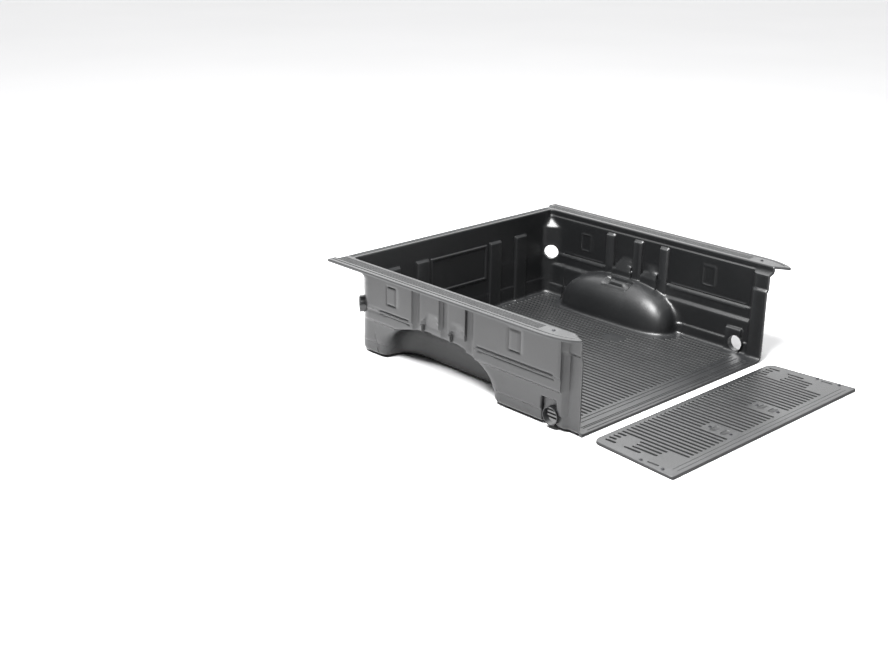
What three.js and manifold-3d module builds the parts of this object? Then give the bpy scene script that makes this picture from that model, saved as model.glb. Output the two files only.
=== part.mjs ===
// Over-rail bed liner for a pickup's cargo box, with its tailgate liner lying open behind it.
// Millimetres. +X is the vehicle's right, +Y is towards the cab, +Z is up.
// The origin is on the underside of the floor, halfway along the cargo box.
import * as THREE from "three";
import { mergeVertices } from "three/addons/utils/BufferGeometryUtils.js";
import Module from "manifold-3d";

const wasm = await Module();
wasm.setup();

// ---- Driving dimensions ----

// Both liners are vacuum-formed from one gauge of sheet.
const sheet = 3.2;
const boxLength = 1715; // the cargo box's floor, from the bulkhead to the box's own sill
const floorSetback = 53.5; // from the box's sill to the rear edge of the liner's floor
const touchGap = 0.3;
const past = 60; // how far a cutting solid runs past what it cuts

// Cargo space, measured on the inner faces.
const insideHeight = 541;
const wallHalfWidth = 811;
const lowerWallHalfWidth = 787;
const footHalfWidth = 779;
const topBandHalfWidth = 823;
const lowerWallHeight = 190;
const footHeight = 66;
const ledgeHeight = 271;
const ledgeDepth = 8;
const topBandDrop = 37; // from the rails' tops to the foot of the side walls' top bands
const slope = 24; // height over which a ledge leans back

// Wheelhouse covers: superelliptic domes against the side walls.
const wheelhouseReach = 197;
const wheelhouseHalfLength = 420;
const wheelhouseHeight = 246;
const wheelhouseCentre = 211;
const planPower = 4.5;
const risePower = 2.5;
const domeSteps = 28;

// Floor grooves: the flat crests between them carry the load, and their beds rest on the box.
const groovePitch = 33.5;
const grooveDepth = 10;
const grooveMouth = 17;
const grooveBed = 11;
const smoothBand = 153.5; // floor without grooves at the rear
const grooveFrontGap = 14;
const boltPad = { x: 434, y: -11, radius: 62 };

// Front corner posts, each capped by a slanted facet.
const postWidth = 63;
const postLength = 92;
const facetHeight = 67;
const postHole = { radius: 45, height: 274 };

// Rear pillars, which cover the box's door posts.
const pillarHalfWidth = 765;
const pillarLength = 114;
const pillarHeight = 404;
const pillarCapHalfWidth = 777;
const pillarCapDrop = 6; // below the foot of the top band

// Upright stiffening ribs on the side walls.
const wallRibs = [
  { y: 348, width: 70 },
  { y: 133, width: 72 },
  { y: -62, width: 68 },
];
const wallRibDepth = 20;
const wallRibDrop = 4; // below the foot of the top band

// Gussets that fill the foot of each bay between the ribs, just above the wheelhouse cover.
const gusset = { depth: 28, low: 280, high: 366 };
const gussets = [
  { rear: 166, front: 316, upperRear: 181, upperFront: 250 },
  { rear: -30, front: 98, upperRear: -18, upperFront: 49 },
];

// Raised pad and tie-down hole low on each side wall.
const tiePad = { fromSill: 251.5, width: 116, height: 147, depth: 12 };
const tieHole = { fromSill: 230.5, height: 56, radius: 45 };

// Bulkhead pads and centre panel.
const bulkheadPads = [
  { x: 530, width: 100 },
  { x: 305, width: 100 },
];
const padDepth = 18;
const padHeight = 412;
const centrePanel = { width: 470, low: 195, high: 410, depth: 10 };

// Rail caps and header cap.
const railOuterHalfWidth = 945;
const railFrontReach = 83.5; // past the bulkhead
const headerReach = 57.5;
const headerStep = 62; // width of each side cap's forward end
const skirtDepth = 15;
const railTip = { x: 873, pastSill: 21.5 };
const railInnerSetback = 61.5; // from the box's sill
const railCurveSetback = 217.5;
const railScrew = { x: 868, fromSill: 167.5 };

// Tailgate liner, lying open behind the floor.
const sillGap = 16.5; // from the box's sill to the tailgate liner's front edge
const tailgateLength = 517;
const tailgateFrontHalfWidth = 765;
const tailgateRearHalfWidth = 800;
const tailgateCorner = 60;
const tailgateGroovePitch = 33.5;
const tailgateGrooveDepth = 12;
const tailgateGrooveMouth = 18;
const tailgateGrooveBed = 12;
const tailgateFrontBand = 30;
const tailgateRearBand = 76;
const tailgateSideBand = 30;

// Smooth areas of the tailgate liner, which no groove crosses, and its screws.
const tailgatePads = [
  { x: 645, fromFront: 127, width: 104, length: 92, cut: 30 },
  { x: 645, fromFront: 376, width: 104, length: 92, cut: 30 },
  { x: 205, fromFront: 355, width: 92, length: 180, cut: 10 },
  { x: 752, fromFront: 350, width: 104, length: 190, cut: 10 },
];
const tailgateScrews = [
  { place: "middle_inner", x: 205, fromFront: 291 },
  { place: "middle_outer", x: 205, fromFront: 416 },
  { place: "side", x: 762, fromFront: 301 },
  { place: "corner", x: 766, fromFront: 432 },
];

// Fasteners: M6 screws with dished washers, spring clip nuts and rail clips.
const screwRadius = 3;
const screwClearance = 0.5;
const threadClearance = 0.2;
const headRadius = 7;
const headHeight = 3.2;
const washerRadius = 10;
const washerHeight = 2;
const tailgateScrewLength = 16;
const railScrewLength = 22;
const clip = { length: 22, width: 16, thickness: 1.2, slot: 1.6, barrelRadius: 5, barrelHeight: 4 };
const railClip = { length: 34, width: 26, thickness: 1.6, drop: 30, hook: 16 };
const nut = { radius: 5.8, height: 5, flangeRadius: 7.5, flangeHeight: 1.2 };
const fastenerSides = 12;
const holeSides = 24;
const curveSteps = 6;

// ---- Derived sizes ----

const floorTop = sheet + grooveDepth;
const railTop = floorTop + insideHeight;
const bulkhead = boxLength / 2;
const sill = -boxLength / 2;
const rearEdge = sill + floorSetback; // floor and pillars end together, short of the tailgate's hinge
const at = (height) => floorTop + height; // a height above the floor's top face
const pillarFront = rearEdge + pillarLength;
const topBandHeight = insideHeight - topBandDrop;
const wallRibTop = topBandHeight - wallRibDrop;
const pillarCapHeight = topBandHeight - pillarCapDrop;
const postPeak = topBandHeight;
const postHeight = postPeak - facetHeight;
const railFront = bulkhead + railFrontReach;
const headerFront = bulkhead + headerReach;
const railTipEnd = sill - railTip.pastSill;
const railInnerEnd = sill + railInnerSetback;
const railCurveStart = sill + railCurveSetback;
const railScrewY = sill + railScrew.fromSill;
const tiePadMiddle = sill + tiePad.fromSill;
const tieHoleY = sill + tieHole.fromSill;
const tailgateFront = sill - sillGap;
const tailgateRear = tailgateFront - tailgateLength;
const tailgateTop = sheet + tailgateGrooveDepth;

// ---- Solids ----

// A closed three.js geometry becomes a solid that can be joined and cut.
function solid(geometry) {
  geometry.deleteAttribute("normal");
  geometry.deleteAttribute("uv");
  const merged = mergeVertices(geometry, 1e-4);
  const vertProperties = new Float32Array(merged.attributes.position.array);
  const triVerts = new Uint32Array(merged.index.array);
  return new wasm.Manifold(new wasm.Mesh({ numProp: 3, vertProperties, triVerts }));
}

// A solid becomes a three.js geometry.
function geometryOf(shape) {
  const mesh = shape.getMesh();
  const geometry = new THREE.BufferGeometry();
  geometry.setAttribute("position", new THREE.BufferAttribute(mesh.vertProperties, 3));
  geometry.setIndex(new THREE.BufferAttribute(mesh.triVerts, 1));
  const flat = geometry.toNonIndexed();
  flat.computeVertexNormals();
  return flat;
}

function join(shapes) {
  return shapes.reduce((whole, shape) => whole.add(shape));
}

function block(x0, x1, y0, y1, z0, z1) {
  const geometry = new THREE.BoxGeometry(x1 - x0, y1 - y0, z1 - z0);
  return solid(geometry.translate((x0 + x1) / 2, (y0 + y1) / 2, (z0 + z1) / 2));
}

// A plan outline of [x, y] points, raised from z0 to z1.
function upright(points, z0, z1) {
  const shape = new THREE.Shape(points.map(([x, y]) => new THREE.Vector2(x, y)));
  const geometry = new THREE.ExtrudeGeometry(shape, { depth: z1 - z0, bevelEnabled: false });
  return solid(geometry.translate(0, 0, z0));
}

// A section of [x, z] points, run along Y from y0 to y1.
function alongY(points, y0, y1) {
  const shape = new THREE.Shape(points.map(([x, z]) => new THREE.Vector2(x, z)));
  const geometry = new THREE.ExtrudeGeometry(shape, { depth: y1 - y0, bevelEnabled: false });
  return solid(geometry.rotateX(Math.PI / 2).translate(0, y1, 0));
}

// A section of [y, z] points, run along X from x0 to x1.
function alongX(points, x0, x1) {
  const shape = new THREE.Shape(points.map(([y, z]) => new THREE.Vector2(y, z)));
  const geometry = new THREE.ExtrudeGeometry(shape, { depth: x1 - x0, bevelEnabled: false });
  geometry.rotateX(Math.PI / 2).rotateZ(Math.PI / 2);
  return solid(geometry.translate(x0, 0, 0));
}

// A round bar on the Z axis, from z0 to z1.
function roundBar(radius, z0, z1, sides = holeSides) {
  const geometry = new THREE.CylinderGeometry(radius, radius, z1 - z0, sides);
  return solid(geometry.rotateX(Math.PI / 2).translate(0, 0, (z0 + z1) / 2));
}

// A turned piece: a profile of [radius, z] points, spun about the Z axis.
function turned(profile) {
  const points = profile.map(([radius, z]) => new THREE.Vector2(radius, z));
  return solid(new THREE.LatheGeometry(points, fastenerSides).rotateX(Math.PI / 2));
}

// The piece and its mirror image across the middle of the vehicle.
function bothSides(shape) {
  return shape.add(shape.mirror([1, 0, 0]));
}

// ---- Bed liner tub ----
// The sheet is what lies between two nested spaces: the cargo space itself, and the same space
// grown by the sheet's gauge. Every feature below is therefore a function of grow, which is 0
// for the inner face and the gauge for the outer face.

// One longitudinal groove, sunk from the top face of a floor between y0 and y1.
function groove(x, y0, y1, top, depth, mouthWidth, bedWidth, grow) {
  const mouth = mouthWidth / 2 + grow;
  const bed = bedWidth / 2 + grow;
  const low = top - depth - grow;
  const section = [
    [x - bed, low],
    [x + bed, low],
    [x + mouth, top],
    [x + mouth, top + 1],
    [x - mouth, top + 1],
    [x - mouth, top],
  ];
  return alongY(section, y0 - grow, y1 + grow);
}

function floorGrooves(grow) {
  const first = rearEdge + smoothBand;
  const last = bulkhead - grooveFrontGap;
  const grooves = [];
  for (let x = 0; x + grooveMouth < footHalfWidth; x += groovePitch) {
    grooves.push(groove(x, first, last, floorTop, grooveDepth, grooveMouth, grooveBed, grow));
  }
  const pad = roundBar(boltPad.radius - grow, -past, past).translate([boltPad.x, boltPad.y, 0]);
  return bothSides(join(grooves).subtract(pad));
}

// A dome of superelliptic plan and rise, centred on the foot of the side wall.
function wheelhouse(grow) {
  const geometry = new THREE.SphereGeometry(1, domeSteps, domeSteps / 2);
  const place = geometry.attributes.position;
  for (let i = 0; i < place.count; i++) {
    const across = place.getX(i);
    const along = place.getY(i);
    const up = place.getZ(i);
    const plan = Math.hypot(across, along);
    const rise = (plan ** risePower + Math.abs(up) ** risePower) ** (1 / risePower);
    const spread = Math.abs(across) ** planPower + Math.abs(along) ** planPower;
    const round = plan / (spread ** (1 / planPower) || 1);
    place.setXYZ(
      i,
      wallHalfWidth + ((across * round) / rise) * (wheelhouseReach - grow),
      wheelhouseCentre + ((along * round) / rise) * (wheelhouseHalfLength - grow),
      floorTop + (up / rise) * (wheelhouseHeight - grow),
    );
  }
  return solid(geometry);
}

// A stand-in of the side wall: a block against the wall with a leaning top edge.
function wallStandIn(halfWidth, depth, height, y0, y1, grow) {
  const far = topBandHalfWidth + past;
  const section = [
    [halfWidth - depth + grow, -past],
    [far, -past],
    [far, at(height) + (far - halfWidth + depth) - grow],
    [halfWidth - depth + grow, at(height) - grow],
  ];
  return alongY(section, y0 + grow, y1 - grow);
}

// The cargo space, or the same space grown outwards by one sheet.
function cargoSpace(grow, top) {
  const rear = rearEdge - past;
  const front = bulkhead + grow;
  const wall = block(-wallHalfWidth - grow, wallHalfWidth + grow, rear, front, floorTop - grow, top);
  const bandLow = at(topBandHeight) - grow;
  const band = block(-topBandHalfWidth - grow, topBandHalfWidth + grow, rear, front, bandLow, top);
  return wall.add(band).add(floorGrooves(grow)).subtract(bothSides(sideFeatures(grow)))
    .subtract(bulkheadFeatures(grow));
}

// What stands into the cargo space along the right-hand wall.
function sideFeatures(grow) {
  const rear = rearEdge - 2 * past;
  const front = bulkhead + past;
  const shapes = [wheelhouse(grow)];
  // Middle band, lower wall and foot step further in, one below the other.
  shapes.push(steppedWall(rear, front, grow));
  for (const rib of wallRibs) {
    const section = [
      [wallHalfWidth - wallRibDepth + grow, at(lowerWallHeight)],
      [topBandHalfWidth + past, at(lowerWallHeight)],
      [topBandHalfWidth + past, at(wallRibTop) - grow],
      [wallHalfWidth - grow, at(wallRibTop) - grow],
      [wallHalfWidth - wallRibDepth + grow, at(wallRibTop) - wallRibDepth - grow],
    ];
    shapes.push(alongY(section, rib.y - rib.width / 2 + grow, rib.y + rib.width / 2 - grow));
  }
  for (const place of gussets) shapes.push(leaningGusset(place, grow));
  const tieLeft = tiePadMiddle - tiePad.width / 2;
  const tieRight = tiePadMiddle + tiePad.width / 2;
  shapes.push(wallStandIn(footHalfWidth, tiePad.depth, tiePad.height, tieLeft, tieRight, grow));
  shapes.push(pillar(rear, grow), cornerPost(grow));
  return join(shapes);
}

// A wedge from the wall down to the wheelhouse cover, narrower at its top than at its foot.
function leaningGusset({ rear, front, upperRear, upperFront }, grow) {
  const low = [at(gusset.low) - grow, at(lowerWallHeight)];
  const face = wallHalfWidth - gusset.depth + grow;
  const points = [];
  for (const z of low) {
    for (const x of [face, wallHalfWidth + past]) {
      points.push([x, rear + grow, z], [x, front - grow, z]);
    }
  }
  for (const x of [wallHalfWidth + grow, wallHalfWidth + past]) {
    points.push([x, upperRear + grow, at(gusset.high) - grow]);
    points.push([x, upperFront - grow, at(gusset.high) - grow]);
  }
  return wasm.Manifold.hull(points);
}

// The side wall's section below the top band: ledge, lower wall and foot.
function steppedWall(rear, front, grow) {
  const far = topBandHalfWidth + past;
  const steps = [
    [footHalfWidth, footHeight],
    [lowerWallHalfWidth, lowerWallHeight],
    [wallHalfWidth - ledgeDepth, ledgeHeight],
  ];
  const section = [[footHalfWidth + grow, -past], [far, -past]];
  section.push([far, at(ledgeHeight) - grow + ledgeDepth]);
  section.push([wallHalfWidth + grow, at(ledgeHeight) - grow + ledgeDepth]);
  for (let i = steps.length - 1; i >= 0; i--) {
    const [halfWidth, height] = steps[i];
    section.push([halfWidth + grow, at(height) - grow]);
    if (i > 0) {
      const [below, lower] = steps[i - 1];
      section.push([halfWidth + grow, at(lower) - grow + Math.min(slope, halfWidth - below)]);
    }
  }
  return alongY(section, rear, front);
}

function pillar(rear, grow) {
  const far = topBandHalfWidth + past;
  const low = at(pillarHeight) - grow;
  const high = at(pillarCapHeight) - grow;
  const inset = pillarCapHalfWidth - pillarHalfWidth;
  const section = [
    [pillarHalfWidth + grow, -past],
    [far, -past],
    [far, high + inset],
    [pillarCapHalfWidth + inset + grow, high + inset],
    [pillarCapHalfWidth + grow, high],
    [pillarCapHalfWidth + grow, low + inset],
    [pillarHalfWidth + grow, low],
  ];
  return alongY(section, rear, pillarFront - grow);
}

// A front corner post: a 45-degree face with a facet leaning back to a peak in the corner.
function cornerPost(grow) {
  const far = topBandHalfWidth + past;
  const outer = bulkhead + past;
  const shift = grow * Math.SQRT2;
  // The post's face line in plan, carried on past both walls.
  const across = wallHalfWidth - postWidth + shift - past * (postWidth / postLength);
  const along = bulkhead - postLength + shift - past * (postLength / postWidth);
  const plan = [
    [across, outer],
    [wallHalfWidth + past, along],
    [far + past, along],
    [far + past, outer],
  ];
  const body = upright(plan, -past, at(postPeak) + past);
  // Everything above the slanted facet is cut away.
  const rise = (postPeak - postHeight) / postWidth;
  const run = (postPeak - postHeight) / postLength;
  const facet = (x, y) => {
    const z = at(postPeak) - grow - (wallHalfWidth - x) * rise - (bulkhead - y) * run;
    return new THREE.Vector3(x, y, z);
  };
  const x0 = wallHalfWidth - 2 * postWidth - past;
  const x1 = far + 2 * past;
  const y0 = bulkhead - 2 * postLength - past;
  const y1 = outer + past;
  const cut = new THREE.BoxGeometry(x1 - x0, y1 - y0, 1);
  const place = cut.attributes.position;
  for (let i = 0; i < place.count; i++) {
    const x = place.getX(i) < 0 ? x0 : x1;
    const y = place.getY(i) < 0 ? y0 : y1;
    const low = facet(x, y).z;
    place.setXYZ(i, x, y, place.getZ(i) < 0 ? low : at(postPeak) * 2);
  }
  const flat = block(x0, x1, y0, y1, at(postPeak) - grow, at(postPeak) * 2);
  return body.subtract(solid(cut)).subtract(flat);
}

// What stands into the cargo space along the bulkhead.
function bulkheadFeatures(grow) {
  const shapes = [];
  for (const pad of bulkheadPads) {
    for (const side of [-1, 1]) {
      const middle = side * pad.x;
      const section = [
        [bulkhead - padDepth + grow, -past],
        [bulkhead + past, -past],
        [bulkhead + past, at(padHeight) + padDepth - grow],
        [bulkhead, at(padHeight) + padDepth - grow],
        [bulkhead - padDepth + grow, at(padHeight) - grow],
      ];
      shapes.push(alongX(section, middle - pad.width / 2 + grow, middle + pad.width / 2 - grow));
    }
  }
  const half = centrePanel.width / 2 - grow;
  const face = bulkhead - centrePanel.depth + grow;
  const low = at(centrePanel.low) + grow;
  const high = at(centrePanel.high) - grow;
  shapes.push(block(-half, half, face, bulkhead + past, low, high));
  return join(shapes);
}

// The caps over the bed rails and over the bulkhead's header, as one U-shaped channel.
function capOutline(grow) {
  const side = railOuterHalfWidth - grow;
  const front = railFront - grow;
  const header = headerFront - grow;
  const right = [];
  // Rear end: straight across the rail, then a curve that follows the body side outwards.
  right.push([topBandHalfWidth, railInnerEnd + grow]);
  right.push([railTip.x - grow, railTipEnd + grow]);
  const curve = new THREE.QuadraticBezierCurve(
    new THREE.Vector2(railTip.x - grow, railTipEnd + grow),
    new THREE.Vector2(side, railTipEnd + (side - railTip.x) + grow),
    new THREE.Vector2(side, railCurveStart),
  );
  for (const point of curve.getPoints(curveSteps).slice(1)) right.push([point.x, point.y]);
  right.push([side, front]);
  right.push([railOuterHalfWidth - headerStep + grow, front]);
  right.push([railOuterHalfWidth - headerStep + grow, header]);
  const left = right.map(([x, y]) => [-x, y]).reverse();
  return [...right, ...left];
}

function bedLinerTub() {
  const inner = cargoSpace(0, railTop + past);
  const outer = cargoSpace(sheet, railTop);
  const beyond = block(-past - railOuterHalfWidth, railOuterHalfWidth + past,
    rearEdge - 3 * past, rearEdge, -past, railTop + past);
  const lip = block(-pillarHalfWidth, pillarHalfWidth, rearEdge, rearEdge + sheet, 0, floorTop);
  const cap = upright(capOutline(0), railTop - skirtDepth, railTop)
    .subtract(upright(capOutline(sheet), railTop - skirtDepth - past, railTop - sheet));
  const screwHole = roundBar(screwRadius + screwClearance, railTop - past, railTop + past, fastenerSides)
    .translate([railScrew.x, railScrewY, 0]);
  const tie = roundBar(tieHole.radius, -past, past).rotate([0, 90, 0])
    .translate([footHalfWidth, tieHoleY, at(tieHole.height)]);
  const turn = (Math.atan2(postWidth, postLength) * 180) / Math.PI;
  const post = roundBar(postHole.radius, -past / 2, past / 2).rotate([0, 90, 0]).rotate([0, 0, turn])
    .translate([wallHalfWidth - postWidth / 2, bulkhead - postLength / 2, at(postHole.height)]);
  return outer.subtract(beyond).add(lip).add(cap).subtract(inner)
    .subtract(bothSides(screwHole.add(tie).add(post)));
}

// ---- Tailgate liner ----

function tailgateOutline(grow) {
  const corner = new THREE.QuadraticBezierCurve(
    new THREE.Vector2(tailgateFrontHalfWidth - tailgateCorner, tailgateFront),
    new THREE.Vector2(tailgateFrontHalfWidth, tailgateFront),
    new THREE.Vector2(tailgateFrontHalfWidth, tailgateFront - tailgateCorner),
  );
  const right = corner.getPoints(curveSteps).map((point) => [point.x - grow, point.y - grow]);
  right.push([tailgateRearHalfWidth - grow, tailgateRear + grow]);
  const left = right.map(([x, y]) => [-x, y]).reverse();
  return [...right, ...left].reverse();
}

// An eight-sided plan of a smooth area, centred on x, y and grown by spread.
function padOutline(pad, x, y, spread) {
  const halfWidth = pad.width / 2 + spread;
  const halfLength = pad.length / 2 + spread;
  const cut = pad.cut;
  return [
    [x - halfWidth, y - halfLength + cut],
    [x - halfWidth + cut, y - halfLength],
    [x + halfWidth - cut, y - halfLength],
    [x + halfWidth, y - halfLength + cut],
    [x + halfWidth, y + halfLength - cut],
    [x + halfWidth - cut, y + halfLength],
    [x - halfWidth + cut, y + halfLength],
    [x - halfWidth, y + halfLength - cut],
  ];
}

// Every screw's place on the tailgate liner, left and right.
function screwPlaces() {
  const places = [];
  for (const { place, x, fromFront } of tailgateScrews) {
    for (const [hand, side] of [["left", -1], ["right", 1]]) {
      places.push({ name: place + "_" + hand, x: side * x, y: tailgateFront - fromFront });
    }
  }
  return places;
}

function tailgateGrooves(grow) {
  const grooves = [];
  const y0 = tailgateRear + tailgateRearBand;
  const y1 = tailgateFront - tailgateFrontBand;
  const reach = tailgateFrontHalfWidth - tailgateSideBand;
  for (let x = 0; x + tailgateGrooveMouth / 2 < reach; x += tailgateGroovePitch) {
    grooves.push(groove(x, y0, y1, tailgateTop, tailgateGrooveDepth, tailgateGrooveMouth,
      tailgateGrooveBed, grow));
  }
  const smooth = tailgatePads.map((pad) =>
    upright(padOutline(pad, pad.x, tailgateFront - pad.fromFront, -grow), -past, past));
  return bothSides(join(grooves).subtract(join(smooth)));
}

// A shallow tray, open below, with its rim turned down to the tailgate's own panel.
function tailgateLiner() {
  const tray = upright(tailgateOutline(0), 0, tailgateTop);
  const hollow = upright(tailgateOutline(sheet), -past, tailgateTop - sheet);
  const holes = screwPlaces().map(({ x, y }) =>
    roundBar(screwRadius + screwClearance, -past, past, fastenerSides).translate([x, y, 0]));
  return tray.subtract(hollow.subtract(tailgateGrooves(sheet)))
    .subtract(tailgateGrooves(0)).subtract(join(holes));
}

// ---- Fasteners, each built about its own screw axis with the sheet's top face at z = 0 ----

const washerLow = touchGap;
const headLow = washerLow + washerHeight + touchGap;

function screw(length) {
  return turned([
    [0, headLow - length],
    [screwRadius * 0.6, headLow - length],
    [screwRadius, headLow - length + screwRadius * 0.6],
    [screwRadius, headLow],
    [headRadius, headLow],
    [headRadius * 0.86, headLow + headHeight * 0.6],
    [headRadius * 0.45, headLow + headHeight],
    [0, headLow + headHeight],
  ]);
}

function washer() {
  const bore = screwRadius + screwClearance;
  return turned([
    [bore, washerLow],
    [washerRadius, washerLow],
    [washerRadius * 0.95, washerLow + washerHeight * 0.4],
    [headRadius, washerLow + washerHeight],
    [bore, washerLow + washerHeight],
    [bore, washerLow],
  ]);
}

// A spring steel clip nut: two leaves that grip a panel edge, with a threaded barrel below.
function clipNut() {
  const top = -sheet - touchGap;
  const { length, width, thickness, slot, barrelRadius, barrelHeight } = clip;
  const low = top - 2 * thickness - slot;
  const end = length * 0.6;
  const section = [
    [-length * 0.4, top],
    [-length * 0.4, top - thickness],
    [end - thickness, top - thickness],
    [end - thickness, low + thickness],
    [-length * 0.4, low + thickness],
    [-length * 0.4, low],
    [end, low],
    [end, top],
  ];
  const leaves = alongY([...section].reverse(), -width / 2, width / 2);
  const barrel = roundBar(barrelRadius, low - barrelHeight, low + thickness / 2, fastenerSides);
  const thread = roundBar(screwRadius + threadClearance, low - past, past, fastenerSides);
  return leaves.add(barrel).subtract(thread);
}

// A J-shaped steel clip whose lower leg hooks under the bed rail's flange.
function railClipBody() {
  const top = -sheet - touchGap;
  const { length, width, thickness, drop, hook } = railClip;
  const back = length * 0.5;
  const section = [
    [-back, top],
    [-back, top - drop],
    [-back + hook, top - drop],
    [-back + hook, top - drop + thickness],
    [-back + thickness, top - drop + thickness],
    [-back + thickness, top - thickness],
    [back, top - thickness],
    [back, top],
  ];
  const thread = roundBar(screwRadius + screwClearance, top - 2 * thickness, past, fastenerSides);
  return alongY(section, -width / 2, width / 2).subtract(thread);
}

function flangeNut() {
  const top = -sheet - 2 * touchGap - railClip.thickness;
  const hexagon = roundBar(nut.radius, top - nut.height, top - nut.flangeHeight / 2, 6);
  const flange = roundBar(nut.flangeRadius, top - nut.flangeHeight, top, fastenerSides);
  const thread = roundBar(screwRadius + threadClearance, -past, past, fastenerSides);
  return hexagon.add(flange).subtract(thread);
}

// ---- Materials ----

const linerPlastic = { color: 0x2b2c2e, roughness: 0.62, metalness: 0 };
const blackSteel = { color: 0x1c1d1f, roughness: 0.45, metalness: 0.8 };
const zincSteel = { color: 0xa9acae, roughness: 0.35, metalness: 1 };

function piece(name, shape, finish, x = 0, y = 0, z = 0) {
  const mesh = new THREE.Mesh(geometryOf(shape), new THREE.MeshStandardMaterial(finish));
  mesh.name = name;
  mesh.position.set(x, y, z);
  return mesh;
}

// ---- Assembly ----

const bedLiner = new THREE.Group();
bedLiner.add(piece("bed_liner_tub", bedLinerTub(), linerPlastic));
bedLiner.add(piece("tailgate_liner", tailgateLiner(), linerPlastic));

for (const [hand, side] of [["left", -1], ["right", 1]]) {
  const x = side * railScrew.x;
  const clipShape = side > 0 ? railClipBody() : railClipBody().mirror([1, 0, 0]);
  bedLiner.add(piece("rail_screw_" + hand, screw(railScrewLength), blackSteel, x, railScrewY, railTop));
  bedLiner.add(piece("rail_washer_" + hand, washer(), blackSteel, x, railScrewY, railTop));
  bedLiner.add(piece("rail_clip_" + hand, clipShape, zincSteel, x, railScrewY, railTop));
  bedLiner.add(piece("rail_nut_" + hand, flangeNut(), zincSteel, x, railScrewY, railTop));
}

for (const { name, x, y } of screwPlaces()) {
  const z = tailgateTop;
  const screwName = "tailgate_screw_" + name;
  bedLiner.add(piece(screwName, screw(tailgateScrewLength), blackSteel, x, y, z));
  bedLiner.add(piece("tailgate_washer_" + name, washer(), blackSteel, x, y, z));
  bedLiner.add(piece("tailgate_clip_nut_" + name, clipNut(), zincSteel, x, y, z));
}

export default bedLiner;
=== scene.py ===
import math

import bmesh
import bpy
import numpy as np
from mathutils import Matrix, Vector
from mathutils.geometry import delaunay_2d_cdt


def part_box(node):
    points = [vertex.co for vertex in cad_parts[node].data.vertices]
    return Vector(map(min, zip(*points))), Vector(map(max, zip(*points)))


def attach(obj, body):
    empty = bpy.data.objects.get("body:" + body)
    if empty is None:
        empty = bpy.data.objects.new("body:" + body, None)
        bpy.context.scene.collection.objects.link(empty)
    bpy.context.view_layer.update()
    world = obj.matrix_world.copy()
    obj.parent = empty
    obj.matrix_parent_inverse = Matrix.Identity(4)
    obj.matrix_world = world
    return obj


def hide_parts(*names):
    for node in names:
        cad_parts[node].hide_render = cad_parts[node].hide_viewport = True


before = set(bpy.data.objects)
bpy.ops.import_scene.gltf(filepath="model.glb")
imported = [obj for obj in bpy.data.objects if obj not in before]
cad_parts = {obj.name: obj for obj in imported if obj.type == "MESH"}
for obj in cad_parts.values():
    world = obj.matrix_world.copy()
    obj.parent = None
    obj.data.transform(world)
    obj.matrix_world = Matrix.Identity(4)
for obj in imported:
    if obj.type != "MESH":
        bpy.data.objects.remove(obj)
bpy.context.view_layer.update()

# ---------------------------------------------------------------------------------------------
# Camera. It stands behind the vehicle's left rear corner, above eye level, and looks down into
# the liner over its left rail.

CAMERA_PLACE = (-5.273, -4.574, 2.668)
CAMERA_YAW = math.radians(43.504)
CAMERA_PITCH = math.radians(19.760)
CAMERA_ROLL = math.radians(0.737)



def placed(name, data):
    """Puts a mesh, camera or light into the scene as an object."""
    thing = bpy.data.objects.new(name, data)
    bpy.context.scene.collection.objects.link(thing)
    return thing


camera = bpy.data.cameras.new("camera")
camera.lens = 53.03
camera.sensor_width = 36.0
camera.clip_end = 200.0
camera_object = placed("camera", camera)
camera_object.matrix_world = (
    Matrix.Translation(CAMERA_PLACE)
    @ Matrix.Rotation(-CAMERA_YAW, 4, "Z")
    @ Matrix.Rotation(math.pi / 2 - CAMERA_PITCH, 4, "X")
    @ Matrix.Rotation(CAMERA_ROLL, 4, "Z")
)
bpy.context.scene.camera = camera_object

# ---------------------------------------------------------------------------------------------
# Bed liner tub. One sheet of black polyethylene, vacuum-formed over a male mould: every corner
# is a smooth radius, and each feature shows on both faces of the sheet.

MM = 0.001
SHEET = 3.2
FLOOR_TOP = 10 + SHEET
RAIL_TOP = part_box("bed_liner_tub")[1].z / MM
BULKHEAD = 857.5
REAR_EDGE = -804.0
RIM_RADIUS = 8.0

WALL = 811.0
FOOT_WALL = 779.0
TOP_BAND = 823.0
FLOOR_FILLET = 24.0
CORNER_FILLET = 14.0
HOUSE_FILLET = (36.0, 12.0)


def level(height):
    """A height above the floor's top face, as a z in millimetres."""
    return FLOOR_TOP + height


def ramp(start, end, value):
    share = np.clip((value - start) / (end - start), 0.0, 1.0)
    return share * share * (3.0 - 2.0 * share)


def plateau(value, low, high, edge):
    """1 between low and high, falling to 0 over edge millimetres on each side."""
    return ramp(low - edge, low, value) * (1.0 - ramp(high, high + edge, value))


def soft_min(a, b, radius):
    near = np.maximum(radius - np.abs(a - b), 0.0) / radius
    return np.minimum(a, b) - near * near * radius / 4.0


def soft_max(a, b, radius):
    return -soft_min(-a, -b, radius)


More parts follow.
